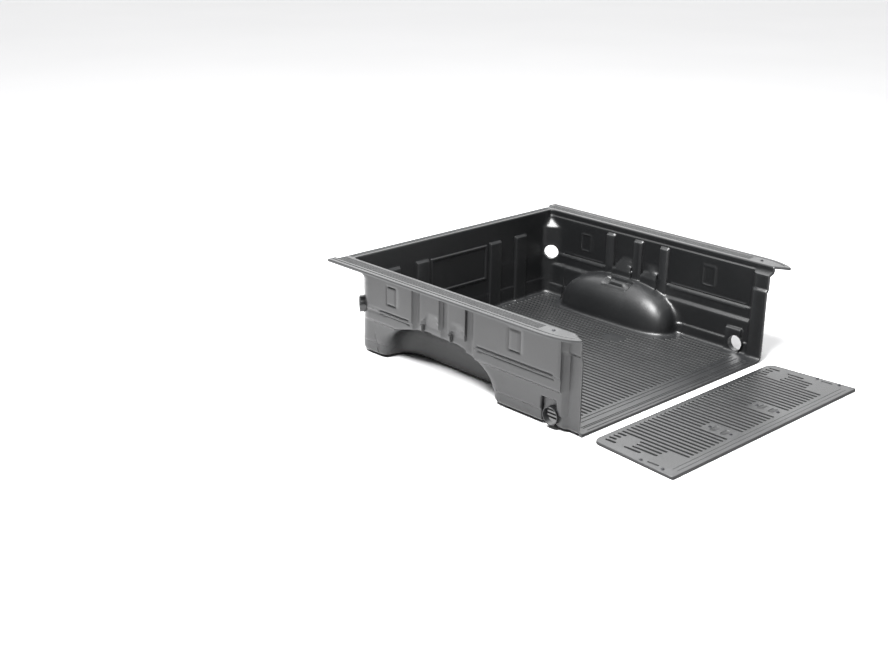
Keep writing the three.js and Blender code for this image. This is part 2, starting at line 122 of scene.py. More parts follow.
# Steps that bring the wall in towards its foot: how far, and the heights between which each falls.
WALL_STEPS = ((12.0, 501, 508), (8.0, 270, 277), (16.0, 188, 212), (8.0, 62, 74))
WALL_RIBS = ((348.0, 70.0), (133.0, 72.0), (-62.0, 68.0))
RIB_DEPTH = 32.0
TIE_DEPTH = 56.0
PILLAR_DEPTH = 58.0
GUSSETS = ((166.0, 316.0, 181.0, 250.0), (-30.0, 98.0, -17.0, 50.0))
GUSSET_LOW = 280.0
GUSSET_HIGH = 366.0
GUSSET_DEPTH = 28.0
TIE_PAD = (-664.0, -548.0)
SIDE_SQUARES = ((508.0, 588.0, 331.0, 441.0), (-429.0, -341.0, 331.0, 452.0))
PILLAR_FRONT = -690.0
LEDGE_RUNS = ((405.0, 735.0), (-650.0, -120.0))
LEDGE_BEADS = ((284, 288), (258, 262))


def side_stand_in(y, z):
    """How far the side wall stands in from the plane of its top band, in millimetres."""
    depth = sum(step * (1.0 - ramp(level(low), level(high), z)) for step, low, high in WALL_STEPS)
    # Gussets fill the foot of each bay between the ribs, just above the wheelhouse cover.
    for rear, front, upper_rear, upper_front in GUSSETS:
        climb = np.clip((z - level(GUSSET_LOW)) / (GUSSET_HIGH - GUSSET_LOW), 0.0, 1.0)
        lean = 12.0 + GUSSET_DEPTH * (1.0 - climb)
        y0, y1 = rear + (upper_rear - rear) * climb, front + (upper_front - front) * climb
        gusset = lean * plateau(y, y0 + 3, y1 - 3, 5.0) * (climb < 1.0) * ramp(level(188), level(212), z)
        depth = soft_max(depth, gusset, 5.0)
    for middle, width in WALL_RIBS:
        rib = RIB_DEPTH * plateau(y, middle - width / 2 + 7, middle + width / 2 - 7, 7.0)
        rib = rib * (1.0 - ramp(level(478), level(502), z))
        depth = soft_max(depth, rib, 6.0)
    tie = TIE_DEPTH * plateau(y, TIE_PAD[0] + 8, TIE_PAD[1] - 8, 9.0)
    tie = tie * (1.0 - 0.7 * ramp(level(134), level(156), z)) * (1.0 - ramp(level(150), level(170), z))
    depth = soft_max(depth, tie, 8.0)
    lower_pillar = PILLAR_DEPTH * (1.0 - ramp(level(400), level(416), z) * 0.22)
    pillar = lower_pillar * (1.0 - ramp(level(494), level(512), z))
    pillar = pillar * (1.0 - ramp(PILLAR_FRONT - 12, PILLAR_FRONT + 4, y))
    depth = soft_max(depth, pillar, 8.0)
    # Twin beads along the ledge, and the plain square bosses above it.
    beads = sum(plateau(z, level(low), level(high), 4.0) for low, high in LEDGE_BEADS)
    runs = sum(plateau(y, rear, front, 6.0) for rear, front in LEDGE_RUNS)
    depth = depth + 3.0 * beads * runs
    for y0, y1, z0, z1 in SIDE_SQUARES:
        outer = plateau(y, y0, y1, 4.0) * plateau(z, level(z0), level(z1), 4.0)
        inner = plateau(y, y0 + 10, y1 - 10, 4.0) * plateau(z, level(z0 + 10), level(z1 - 10), 4.0)
        depth = depth + 3.5 * (outer - inner)
    return depth


BULKHEAD_PADS = ((480.0, 580.0), (255.0, 355.0))
PAD_DEPTH = 18.0
CENTRE_HALF = 230.0
CENTRE_FRAME = 13.0


def bulkhead_stand_in(x, z):
    """How far the bulkhead stands in from its header plane, in millimetres."""
    x = np.abs(x)
    depth = 4.0 * (1.0 - ramp(level(262), level(268), z)) * ramp(236.0, 244.0, x)
    depth += 4.0 * (1.0 - ramp(level(94), level(102), z))
    for start, end in BULKHEAD_PADS:
        pad = PAD_DEPTH * plateau(x, start + 5, end - 5, 6.0)
        pad = pad * (1.0 - ramp(level(410), level(428), z))
        depth = soft_max(depth, pad, 5.0)
    frame_low, frame_high = level(197), level(412)
    panel = plateau(x, -1.0, CENTRE_HALF, 5.0) * plateau(z, frame_low, frame_high, 5.0)
    inside = plateau(x, -1.0, CENTRE_HALF - CENTRE_FRAME, 5.0)
    inside = inside * plateau(z, frame_low + CENTRE_FRAME, frame_high - CENTRE_FRAME, 5.0)
    depth = soft_max(depth, 10.0 * panel, 4.0) - 8.0 * inside
    return depth


HOUSE_REACH = 197.0
HOUSE_HALF_LENGTH = 420.0
HOUSE_HEIGHT = 246.0
HOUSE_CENTRE = 211.0
PLAN_POWER = 4.5
RISE_POWER = 2.5
HOUSE_SCALE = 240.0
# On top of the cover: a sunk panel, a bar that stands up in it, and a low rim round it. Each is
# an area of x and y, and how far it is pressed down.
HOUSE_PRESSINGS = (
    ((686.0, 750.0), (116.0, 290.0), 18.0),
    ((710.0, 727.0), (140.0, 266.0), -13.0),
    ((680.0, 756.0), (110.0, 296.0), -4.0),
)


def wheelhouse_distance(x, y, z):
    across = np.abs(WALL - x) / HOUSE_REACH
    along = np.abs(y - HOUSE_CENTRE) / HOUSE_HALF_LENGTH
    up = np.abs(z - FLOOR_TOP) / HOUSE_HEIGHT
    plan = (across ** PLAN_POWER + along ** PLAN_POWER) ** (RISE_POWER / PLAN_POWER)
    size = (plan + up ** RISE_POWER) ** (1.0 / RISE_POWER)
    on_top = ramp(120.0, 170.0, z)
    distance = (size - 1.0) * HOUSE_SCALE
    for x_range, y_range, sink in HOUSE_PRESSINGS:
        distance = distance + sink * (plateau(x, *x_range, 5.0) * plateau(y, *y_range, 5.0) * on_top)
    return distance


POST_WIDTH = 63.0
POST_LENGTH = 92.0
POST_HEIGHT = 437.0
POST_PEAK = 504.0
POST_HOLE = 274.0


def post_distance(x, y, z):
    across = WALL - POST_WIDTH
    face = (POST_LENGTH * (across - x) + POST_WIDTH * (BULKHEAD - y)) / math.hypot(POST_LENGTH, POST_WIDTH)
    slope_x = (POST_PEAK - POST_HEIGHT) / POST_WIDTH
    slope_y = (POST_PEAK - POST_HEIGHT) / POST_LENGTH
    facet = z - level(POST_PEAK) + (WALL - x) * slope_x + (BULKHEAD - y) * slope_y
    facet = facet / math.sqrt(1 + slope_x ** 2 + slope_y ** 2)
    # A low rolled collar round the tie-down hole.
    middle = (WALL - POST_WIDTH / 2, BULKHEAD - POST_LENGTH / 2, level(POST_HOLE))
    from_hole = np.sqrt((x - middle[0]) ** 2 + (y - middle[1]) ** 2 + (z - middle[2]) ** 2)
    face = face - 2.5 * plateau(from_hole, -1.0, 51.0, 6.0)
    return soft_max(face, facet, 3.0)


def wall_distance(x, y, z):
    """Distance inside the cargo space from everything but the floor. Zero on the sheet's inner face."""
    x = np.abs(x)
    side = TOP_BAND - side_stand_in(y, z) - x
    front = BULKHEAD - bulkhead_stand_in(x, z) - y
    space = soft_min(side, front, CORNER_FILLET)
    space = soft_min(space, post_distance(x, y, z), 12.0)
    # The cover flares widely into the wall near the floor, and meets it tightly on top.
    low, high = HOUSE_FILLET
    flare = low + (high - low) * ramp(level(90), level(215), z)
    return soft_min(space, wheelhouse_distance(x, y, z), flare)


def cargo_distance(x, y, z):
    return soft_min(wall_distance(x, y, z), z - FLOOR_TOP, FLOOR_FILLET)


def first_hit(distance, origin, direction, reach=700.0):
    """Where rays that start in free space first meet distance = 0, by halving the interval."""
    near = np.zeros(origin.shape[:-1])
    far = np.full(origin.shape[:-1], reach)
    for _ in range(26):
        middle = (near + far) / 2
        point = origin + direction * middle[..., None]
        free = distance(point[..., 0], point[..., 1], point[..., 2]) > 0
        near = np.where(free, middle, near)
        far = np.where(free, far, middle)
    return origin + direction * far[..., None]


def refined(start, end, spacing, edges, fine=3.0, reach=9.0):
    """Places from start to end, spacing apart, with closer ones around each edge."""
    places = set(np.round(np.linspace(start, end, int(abs(end - start) / spacing) + 1), 2))
    for edge in edges:
        for offset in np.arange(-reach, reach + fine / 2, fine):
            if start < edge + offset < end:
                places.add(round(edge + offset, 2))
    places = sorted(places)
    kept = [places[0]]
    for place in places[1:]:
        if place - kept[-1] > fine * 0.6:
            kept.append(place)
    kept[-1] = places[-1]
    return np.array(kept)


# The wall is swept round the tub's right half by upright planes: along the side wall, round the
# corner post, and along the bulkhead to the middle. In each plane, rays fan out from a pivot.
PIVOT_INSET = 251.0
PIVOT_HEIGHT = 430.0
LIP_RADIUS = 7.0
LIP_START = REAR_EDGE + LIP_RADIUS
pivot_x = WALL - PIVOT_INSET
pivot_y = BULKHEAD - PIVOT_INSET

side_edges = [edge for middle, width in WALL_RIBS for edge in (middle - width / 2, middle + width / 2)]
side_edges += [*TIE_PAD, PILLAR_FRONT, *LEDGE_RUNS[1], LEDGE_RUNS[0][0]]
for rear, front, _, _ in SIDE_SQUARES:
    side_edges += [rear, rear + 8, front - 8, front]
# More rows over the sunk panel on the wheelhouse cover, and over the cover's two ends.
side_edges += [92.0, 120.0, 248.0, 276.0]
side_edges += [*np.arange(-270.0, -150.0, 12.0), *np.arange(575.0, pivot_y, 12.0)]
side_rows = refined(LIP_START, pivot_y, 26.0, side_edges, 5.0, 5.0)
side_rows = side_rows[side_rows < pivot_y - 1]
bulkhead_edges = [edge for pad in BULKHEAD_PADS for edge in pad]
bulkhead_edges += [CENTRE_HALF - CENTRE_FRAME, CENTRE_HALF]
front_rows = refined(0.0, pivot_x, 26.0, bulkhead_edges, 4.0, 8.0)[::-1]
turns = np.radians(np.linspace(0.0, 90.0, 27)[:-1])

row_origins = [(pivot_x, y) for y in side_rows] + [(pivot_x, pivot_y)] * len(turns)
row_origins = np.array(row_origins + [(x, pivot_y) for x in front_rows])
row_headings = [(1.0, 0.0)] * len(side_rows) + [(math.cos(a), math.sin(a)) for a in turns]
row_headings = np.array(row_headings + [(0.0, 1.0)] * len(front_rows))
row_count = len(row_origins)


def at_height(line, z):
    """A plan line raised to one height."""
    return np.column_stack([line, np.full(len(line), z)])



# Foot of the wall: where the fillet leaves the flat floor.
flat_heading = at_height(row_headings, 0.0)
feet = first_hit(
    lambda x, y, z: wall_distance(x, y, z) - FLOOR_FILLET, at_height(row_origins, FLOOR_TOP), flat_heading)

FAN_STATIONS = 40
WALL_SPACING = 7.0
CREST = level(250)
BEND_WEIGHT = 22.0
crest_angle = math.atan2(CREST - PIVOT_HEIGHT, PIVOT_INSET)
pivot = at_height(row_origins, PIVOT_HEIGHT)
run = np.hypot(feet[:, 0] - row_origins[:, 0], feet[:, 1] - row_origins[:, 1])
foot_angle = np.arctan2(FLOOR_TOP - PIVOT_HEIGHT, run)


def fan_hits(angles):
    """Hits of rays leaned down from the pivot by angles, an array of rows by stations."""
    lean = np.cos(angles)[..., None]
    heading = np.concatenate([row_headings[:, None, :] * lean, np.sin(angles)[..., None]], axis=2)
    origin = np.broadcast_to(pivot[:, None, :], heading.shape)
    return first_hit(cargo_distance, origin, heading)


# Lower part: stations crowd where the section bends, and are evened out from row to row.
dense = np.linspace(0.0, 1.0, 220)
dense_angles = foot_angle[:, None] + (crest_angle - foot_angle)[:, None] * dense[None, :]
dense_hits = fan_hits(dense_angles)
steps = np.diff(dense_hits, axis=1)
lengths = np.linalg.norm(steps, axis=2)
headings = steps / np.maximum(lengths[..., None], 1e-6)
bends = np.zeros(lengths.shape)
bends[:, 1:] = np.linalg.norm(np.diff(headings, axis=1), axis=2)
weights = lengths + BEND_WEIGHT * bends
progress = np.concatenate([np.zeros((row_count, 1)), np.cumsum(weights, axis=1)], axis=1)
progress /= progress[:, -1:]
wanted = np.linspace(0.0, 1.0, FAN_STATIONS)
shares = np.array([np.interp(wanted, progress[i], dense) for i in range(row_count)])
smooth = np.array([1.0, 2.0, 3.0, 2.0, 1.0]) / 9.0
padded = np.pad(shares, ((2, 2), (0, 0)), mode="edge")
shares = sum(smooth[k] * padded[k:k + row_count] for k in range(5))
lower_angles = foot_angle[:, None] + (crest_angle - foot_angle)[:, None] * shares
lower = fan_hits(lower_angles)
lower[:, 0, :] = feet

# Upper part: rays at set heights on the wall.
upper_heights = np.arange(CREST + WALL_SPACING, PIVOT_HEIGHT, WALL_SPACING)
upper_angles = np.arctan2(upper_heights - PIVOT_HEIGHT, PIVOT_INSET)
upper = fan_hits(np.broadcast_to(upper_angles[None, :], (row_count, len(upper_angles))))
rim_foot = RAIL_TOP - RIM_RADIUS
top_heights = np.append(np.arange(PIVOT_HEIGHT, rim_foot - 3, WALL_SPACING), rim_foot)
top_origin = np.stack([at_height(row_origins, z) for z in top_heights], axis=1)
top_heading = np.broadcast_to(flat_heading[:, None, :], top_origin.shape)
top = first_hit(wall_distance, top_origin, top_heading)
wall_grid = np.concatenate([lower, upper, top], axis=1)

# ---- The sheet's skin, put together from swept rows, flat plates and pressed dishes ----


def new_skin():
    return {"corners": [], "faces": []}


def bridge(skin, rows, closed=False):
    """Joins rows of points, all of one length, by quads."""
    width = len(rows[0])
    start = len(skin["corners"])
    for row in rows:
        skin["corners"].extend(map(tuple, row))
    last = width if closed else width - 1
    for i in range(len(rows) - 1):
        for j in range(last):
            a = start + i * width + j
            b = start + i * width + (j + 1) % width
            skin["faces"].append((a, b, b + width, a + width))


def inside(loop, points):
    """Which points lie inside a closed plan loop."""
    crossings = np.zeros(len(points), dtype=bool)
    following = np.roll(loop, -1, axis=0)
    for (x0, y0), (x1, y1) in zip(loop, following):
        if y0 != y1:
            spans = (y0 > points[:, 1]) != (y1 > points[:, 1])
            crossings ^= spans & (points[:, 0] < (x1 - x0) * (points[:, 1] - y0) / (y1 - y0) + x0)
    return crossings


def flat_plate(skin, outline, openings, z):
    """A flat plate at height z, left open inside each opening's loop."""
    loops = [np.asarray(outline)] + [np.asarray(loop) for loop in openings]
    points, edges, owner = [], [], []
    for number, loop in enumerate(loops):
        start = len(points)
        points.extend(Vector(point) for point in loop.tolist())
        owner.extend([number] * len(loop))
        edges.extend((start + i, start + (i + 1) % len(loop)) for i in range(len(loop)))
    places, _, triangles, origins, _, _ = delaunay_2d_cdt(points, edges, [], 1, 1e-3, True)
    plan = np.array([tuple(place) for place in places])
    triangles = np.array(triangles)
    middles = plan[triangles].mean(axis=1)
    owners = np.array([owner[origin[0]] if origin else -1 for origin in origins])[triangles]
    alike = (owners[:, 0] == owners[:, 1]) & (owners[:, 1] == owners[:, 2])
    keep = np.ones(len(triangles), dtype=bool)
    for number in range(len(loops)):
        own = np.nonzero(alike & (owners[:, 0] == number))[0]
        if len(own):
            within = inside(loops[number], middles[own])
            keep[own] = within if number == 0 else ~within
    start = len(skin["corners"])
    skin["corners"].extend((x, y, z) for x, y in plan.tolist())
    skin["faces"].extend(tuple(start + i for i in triangle) for triangle in triangles[keep].tolist())


def inset(loop, distance, closed=True):
    """A plan line moved sideways, to the left of its own direction."""
    loop = np.asarray(loop, dtype=float)
    ahead = np.roll(loop, -1, axis=0) - loop
    if not closed:
        ahead[-1] = ahead[-2]
    behind = np.roll(ahead, 1, axis=0)
    if not closed:
        behind[0] = ahead[0]
    normals = []
    for step in (behind, ahead):
        step = step / np.maximum(np.linalg.norm(step, axis=1, keepdims=True), 1e-9)
        normals.append(np.column_stack([-step[:, 1], step[:, 0]]))
    total = normals[0] + normals[1]
    shared = 1.0 + (normals[0] * normals[1]).sum(axis=1, keepdims=True)
    return loop + total / np.maximum(shared, 0.4) * distance


# How far a pressed area's opening in the plate stands outside the area itself.
GUARD = 1.5


def dish(skin, loop, z, profile):
    """Presses an area down along a profile of (inset, drop), closes it, and returns its opening."""
    rows = [at_height(inset(loop, -GUARD), z)]
    rows += [at_height(inset(loop, depth), z - drop) for depth, drop in profile]
    bridge(skin, rows, closed=True)
    start = len(skin["corners"])
    skin["corners"].extend(map(tuple, rows[-1]))
    skin["faces"].append(tuple(range(start, start + len(loop))))
    return rows[0][:, :2]


def channel(path, half_width, segments=8):
    """The loop round a path, with half-round ends, going anticlockwise."""
    path = np.asarray(path, dtype=float)
    right = inset(path, -half_width, closed=False)
    left = inset(path, half_width, closed=False)[::-1]
    loop = []
    for side, end, before in ((right, path[-1], path[-2]), (left, path[0], path[1])):
        heading = math.atan2(end[1] - before[1], end[0] - before[0])
        turns = heading + np.linspace(-math.pi / 2, math.pi / 2, segments + 1)
        loop += [side[1:-1], end + half_width * np.column_stack([np.cos(turns), np.sin(turns)])]
    return np.concatenate(loop)


def disc(x, y, radius, segments=20):
    turns = np.linspace(0, 2 * math.pi, segments, endpoint=False)
    return np.column_stack([x + radius * np.cos(turns), y + radius * np.sin(turns)])


def open_runs(clear, places, shortest):
    """The stretches of places over which clear holds."""
    runs, start = [], None
    for i, free in enumerate(clear):
        if free and start is None:
            start = places[i]
        if not free and start is not None:
            runs.append((start, places[i - 1]))
            start = None
    if start is not None:
        runs.append((start, places[-1]))
    return [run for run in runs if run[1] - run[0] > shortest]


def rounded(points, radius, segments=5):
    """A plan loop with each corner rounded off."""
    points = [Vector(point) for point in points]
    line = []
    for i, corner in enumerate(points):
        before, after = points[i - 1], points[(i + 1) % len(points)]
        reach = min(radius, (before - corner).length * 0.45, (after - corner).length * 0.45)
        start = corner + (before - corner).normalized() * reach
        end = corner + (after - corner).normalized() * reach
        for k in range(segments + 1):
            t = k / segments
            line.append(tuple(start * (1 - t) ** 2 + corner * 2 * t * (1 - t) + end * t ** 2))
    return np.array(line)


def sheet_piece(name, skin, up_at):
    """Welds a skin, turns its faces outwards and gives it the sheet's gauge."""
    mesh = bpy.data.meshes.new(name)
    mesh.from_pydata([(x * MM, y * MM, z * MM) for x, y, z in skin["corners"]], [], skin["faces"])
    work = bmesh.new()
    work.from_mesh(mesh)
    bmesh.ops.remove_doubles(work, verts=work.verts, dist=0.04 * MM)
    bmesh.ops.dissolve_degenerate(work, edges=work.edges, dist=0.01 * MM)
    bmesh.ops.recalc_face_normals(work, faces=work.faces)
    work.faces.ensure_lookup_table()
    flat = min(work.faces, key=lambda f: (f.calc_center_median() - Vector(up_at) * MM).length)
    if flat.normal.z < 0:
        bmesh.ops.reverse_faces(work, faces=work.faces)
    work.to_mesh(mesh)
    work.free()
    piece = placed(name, mesh)
    gauge = piece.modifiers.new("gauge", "SOLIDIFY")
    gauge.thickness = SHEET * MM
    gauge.offset = -1.0
    gauge.use_quality_normals = True
    return piece


def settled(piece, smooth_angle=38.0):
    """Makes a piece's modifiers part of its mesh and shades it by angle."""
    view = bpy.context.evaluated_depsgraph_get()
    mesh = bpy.data.meshes.new_from_object(piece.evaluated_get(view))
    piece.modifiers.clear()
    piece.data = mesh
    for face in mesh.polygons:
        face.use_smooth = True
    mesh.set_sharp_from_angle(angle=math.radians(smooth_angle))


tub_skin = new_skin()
mirror = np.array([-1.0, 1.0, 1.0])
bridge(tub_skin, list(wall_grid))
bridge(tub_skin, list(wall_grid * mirror))

# The rear edge is rolled outwards all round: down over the box's sill and back round the pillars.
rear_right = wall_grid[0][::-1]
lip_line = np.concatenate([rear_right, wall_grid[0] * mirror])
LIP_FLANGE = 5.5
lip_out = np.gradient(lip_line[:, [0, 2]], axis=0)
lip_out = np.column_stack([-lip_out[:, 1], lip_out[:, 0]])
lip_out /= np.linalg.norm(lip_out, axis=1, keepdims=True)
lip_out[len(rear_right) - 1:len(rear_right) + 1] = (0.0, -1.0)
lip_rows = []
for turn in np.radians((0, 18, 36, 54, 72, 90)):
    out = lip_out * LIP_RADIUS * (1 - math.cos(turn))
    row = lip_line + np.column_stack([out[:, 0], np.zeros(len(out)), out[:, 1]])
    row[:, 1] = LIP_START - LIP_RADIUS * math.sin(turn)
    lip_rows.append(row)
flange = lip_out * LIP_FLANGE
lip_rows.append(lip_rows[-1] + np.column_stack([flange[:, 0], np.zeros(len(flange)), flange[:, 1]]))
bridge(tub_skin, lip_rows)

# The floor plate, with its grooves sunk between smooth crests.
GROOVE_PITCH = 33.5
SHORTEST_GROOVE = 40.0
GROOVE_HALF_MOUTH = 10.2
GROOVE_PROFILE = (
    (0, 0), (0.9, 0.25), (1.8, 0.95), (2.4, 2.1), (2.8, 3.6), (3.7, 7.4), (4.7, 9.2), (6.0, 9.9), (7.6, 10),
)
BAND_PROFILE = ((0, 0), (0.5, 0.35), (1.0, 1.3), (1.6, 2.2), (2.2, 2.4))
GROOVE_START = REAR_EDGE + 153.5
BOLT_PAD = (434.0, -11.0, 62.0)
foot_loop = np.concatenate([feet[:, :2], feet[-2::-1, :2] * (-1, 1)])
groove_openings = []
stations = np.arange(GROOVE_START, BULKHEAD, 1.0)
for number in range(-23, 24):
    x = number * GROOVE_PITCH
    clear = np.ones(len(stations), dtype=bool)
    for side in (-14.5, -7.0, 0.0, 7.0, 14.5):
        clear &= inside(foot_loop, np.column_stack([np.full(len(stations), x + side), stations]))
    from_pad = np.hypot(abs(x) - BOLT_PAD[0], stations - BOLT_PAD[1])
    clear &= from_pad > BOLT_PAD[2] + 6
    for start, end in open_runs(clear, stations, SHORTEST_GROOVE):
        ends = [(x, start + GROOVE_HALF_MOUTH), (x, end - GROOVE_HALF_MOUTH - 5)]
        loop = channel(ends, GROOVE_HALF_MOUTH)
        groove_openings.append(dish(tub_skin, loop, FLOOR_TOP, GROOVE_PROFILE))
# Fine lines pressed across the smooth band by the tailgate: each one's place and half its width.
BAND_HALF = 690.0
BAND_LINES = ((22.0, 3.0), (49.0, 3.4), (61.0, 3.4), (104.0, 3.0), (133.0, 3.4))
for offset, half_width in BAND_LINES:
    y = REAR_EDGE + offset
    line = channel([(-BAND_HALF, y), (BAND_HALF, y)], half_width, 6)
    groove_openings.append(dish(tub_skin, line, FLOOR_TOP, BAND_PROFILE))
flat_plate(tub_skin, foot_loop, groove_openings, FLOOR_TOP)

# The rim rolls outwards into the caps that cover the bed rails and the header.
rim_line = wall_grid[:, -1]
rim_along = np.gradient(rim_line[:, :2], axis=0)
rim_out = np.column_stack([rim_along[:, 1], -rim_along[:, 0]])
rim_out /= np.linalg.norm(rim_out, axis=1, keepdims=True)
rim_out[-1] = (0.0, 1.0)
rim_rows = []
for turn in np.radians((0, 22, 45, 68, 90)):
    out = rim_out * RIM_RADIUS * (1 - math.cos(turn))
    height = RAIL_TOP - RIM_RADIUS * (1 - math.sin(turn))
    rim_rows.append(at_height(rim_line[:, :2] + out, height))
bridge(tub_skin, rim_rows)
bridge(tub_skin, [row * mirror for row in rim_rows])
rim_top = rim_rows[-1][:, :2]

RAIL_OUTER = 945.0
RAIL_FRONT = 941.0
HEADER_FRONT = 915.0
HEADER_STEP = 62.0
RAIL_TIP = (873.0, -879.0)
CURVE_START = -640.0
SKIRT = 15.0
CAP_RADIUS = 6.0
RAIL_LINES = (847, 859, 871, 883, 895)
RAIL_LINE_ENDS = (-618.0, 902.0)
HEADER_LINES = (875.0, 887.0, 899.0)
HEADER_LINE_HALF = 815.0
cap_right = [tuple(rim_top[0]), (RAIL_TIP[0] - 14, RAIL_TIP[1] + 25), (RAIL_TIP[0] - 6, RAIL_TIP[1] + 5)]
tip_control = (RAIL_OUTER, RAIL_TIP[1] + RAIL_OUTER - RAIL_TIP[0])
for t in np.linspace(0.04, 1.0, 18):
    cap_right.append((
        RAIL_TIP[0] * (1 - t) ** 2 + tip_control[0] * 2 * t * (1 - t) + RAIL_OUTER * t * t,
        RAIL_TIP[1] * (1 - t) ** 2 + tip_control[1] * 2 * t * (1 - t) + CURVE_START * t * t,
    ))
corner = 10.0
step_x = RAIL_OUTER - HEADER_STEP
cap_right += [(RAIL_OUTER, RAIL_FRONT - corner), (RAIL_OUTER - 3, RAIL_FRONT - 3)]
cap_right += [(RAIL_OUTER - corner, RAIL_FRONT)]
cap_right += [(step_x + 6, RAIL_FRONT), (step_x + 1.5, RAIL_FRONT - 1.5), (step_x, RAIL_FRONT - 6)]
cap_right += [(step_x, HEADER_FRONT + 5), (step_x - 1.5, HEADER_FRONT + 1.5), (step_x - 5, HEADER_FRONT)]
cap_edge = np.array(cap_right + [(-x, y) for x, y in reversed(cap_right)])


def rolled_edge(line, radius, top, foot, closed):
    """Rows that roll a flat's edge over and take it down to foot. A negative radius rolls it right."""
    rows = []
    for turn in np.radians((0, 22, 45, 68, 90)):
        edge = inset(line, radius * (1 - math.sin(turn)), closed)
        rows.append(at_height(edge, top - abs(radius) * (1 - math.cos(turn))))
    return rows + [at_height(line, foot)]


cap_rows = rolled_edge(cap_edge, CAP_RADIUS, RAIL_TOP, RAIL_TOP - SKIRT, closed=False)
bridge(tub_skin, cap_rows)
cap_top = cap_rows[0][:, :2]

# Fine grooves along the caps, and a wider one that follows the outer edge.
FINE_HALF = 3.8
WIDE_HALF = 4.6
WIDE_INSET = 27.0
FINE_PROFILE = ((0, 0), (0.5, 0.4), (1.0, 1.8), (1.6, 3.2), (2.4, 3.6))
WIDE_PROFILE = ((0, 0), (0.6, 0.4), (1.3, 1.8), (2.2, 3.4), (3.4, 3.8))
RAIL_SCREW = (868.0, -690.0)
SCREW_HOLE = 3.5
cap_openings = []
for side in (-1, 1):
    for x in RAIL_LINES:
        loop = channel([(side * x, y) for y in RAIL_LINE_ENDS], FINE_HALF, 6)
        cap_openings.append(dish(tub_skin, loop, RAIL_TOP, FINE_PROFILE))
    outer = [point for point in cap_edge if point[0] > 880 and point[1] < -500]
    outer = np.array(outer + [(RAIL_OUTER, 920.0)])
    path = inset(outer, WIDE_INSET, closed=False)[2:]
    if side < 0:
        path = path[::-1] * (-1, 1)
    cap_openings.append(dish(tub_skin, channel(path, WIDE_HALF, 6), RAIL_TOP, WIDE_PROFILE))
    cap_openings.append(disc(side * RAIL_SCREW[0], RAIL_SCREW[1], SCREW_HOLE, 16))
for y in HEADER_LINES:
    loop = channel([(-HEADER_LINE_HALF, y), (HEADER_LINE_HALF, y)], FINE_HALF, 6)
    cap_openings.append(dish(tub_skin, loop, RAIL_TOP, FINE_PROFILE))
cap_inner = np.concatenate([rim_top, rim_top[-2::-1] * (-1, 1)])
cap_loop = np.concatenate([cap_inner, cap_top[::-1]])
flat_plate(tub_skin, cap_loop, cap_openings, RAIL_TOP)

liner_tub = sheet_piece("liner_tub", tub_skin, (0.0, REAR_EDGE + 80.0, FLOOR_TOP))


def round_cutter(name, places):
    """A set of round bars, each given by its middle, direction, radius and length."""
    work = bmesh.new()
    for middle, heading, radius, length in places:
        turn = Vector((0, 0, 1)).rotation_difference(Vector(heading)).to_matrix().to_4x4()
        bmesh.ops.create_cone(
            work, cap_ends=True, segments=40, radius1=radius * MM, radius2=radius * MM, depth=length * MM,
            matrix=Matrix.Translation(Vector(middle) * MM) @ turn,
        )
    mesh = bpy.data.meshes.new(name)
    work.to_mesh(mesh)
    work.free()
    return placed(name, mesh)


TIE_HOLE = (-627.0, 56.0, 45.0)
SLEEVE = 34.0
post_heading = Vector((POST_LENGTH, POST_WIDTH, 0)).normalized()
sleeves, holes = [], []
for side in (-1, 1):
    tie_start = FOOT_WALL - 14.0
    for places, radius, length in ((sleeves, TIE_HOLE[2] + SHEET, SLEEVE), (holes, TIE_HOLE[2], 120.0)):
        tie_middle = tie_start + SLEEVE / 2
        places.append(((side * tie_middle, TIE_HOLE[0], level(TIE_HOLE[1])), (1, 0, 0), radius, length))
        depth = SLEEVE / 2 - 4.0
        x = WALL - POST_WIDTH / 2 + post_heading.x * depth
        y = BULKHEAD - POST_LENGTH / 2 + post_heading.y * depth
        heading = (side * post_heading.x, post_heading.y, 0)
        places.append(((side * x, y, level(POST_HOLE)), heading, radius, min(length, 70.0)))
sleeve_bars = round_cutter("tie_down_sleeves", sleeves)
hole_bars = round_cutter("tie_down_holes", holes)
for tool, operation in ((sleeve_bars, "UNION"), (hole_bars, "DIFFERENCE")):
    cut = liner_tub.modifiers.new(tool.name, "BOOLEAN")
    cut.operation = operation
    cut.solver = "EXACT"
    cut.object = tool
settled(liner_tub)
bpy.data.objects.remove(sleeve_bars)
bpy.data.objects.remove(hole_bars)


# Surface of both liners: moulded black polyethylene with a fine pebble grain, slightly chalky where
# loads have rubbed it, with painted highlights on proud edges, up-facing faces and crests, and painted
# shade in the groove beds. The grain is pressed into the sheet, so it shows as bump and in the gloss.
def feed(tree, node, inputs):
    """Gives each input of a node its value, or a link from another node's output."""
    for key, value in inputs.items():
        if isinstance(value, bpy.types.NodeSocket):
            tree.links.new(value, node.inputs[key])
        else:
            node.inputs[key].default_value = value


def add_node(tree, kind, inputs=None, **settings):
    node = tree.nodes.new(kind)
    for key, value in settings.items():
        setattr(node, key, value)
    feed(tree, node, inputs or {})
    return node


def math_node(tree, operation, *values):
    return add_node(tree, "ShaderNodeMath", dict(enumerate(values)), operation=operation).outputs[0]


def spread(tree, value, low, high, to_low, to_high):
    """Maps low..high to to_low..to_high, and holds it there."""
    inputs = {"Value": value, "From Min": low, "From Max": high, "To Min": to_low, "To Max": to_high}
    return add_node(tree, "ShaderNodeMapRange", inputs, clamp=True).outputs["Result"]


def node_group(name, kind, inputs, outputs):
    """A node group, its sockets' identifiers by name, and its two end nodes."""
    tree = bpy.data.node_groups.new(name, kind)
    sockets = {}
    for way, rows in (("INPUT", inputs), ("OUTPUT", outputs)):
        for label, data, *value in rows:
            socket = tree.interface.new_socket(name=label, in_out=way, socket_type="NodeSocket" + data)
            if value:
                socket.default_value = value[0]
            sockets[label] = socket.identifier
    return tree, sockets, add_node(tree, "NodeGroupInput"), add_node(tree, "NodeGroupOutput")


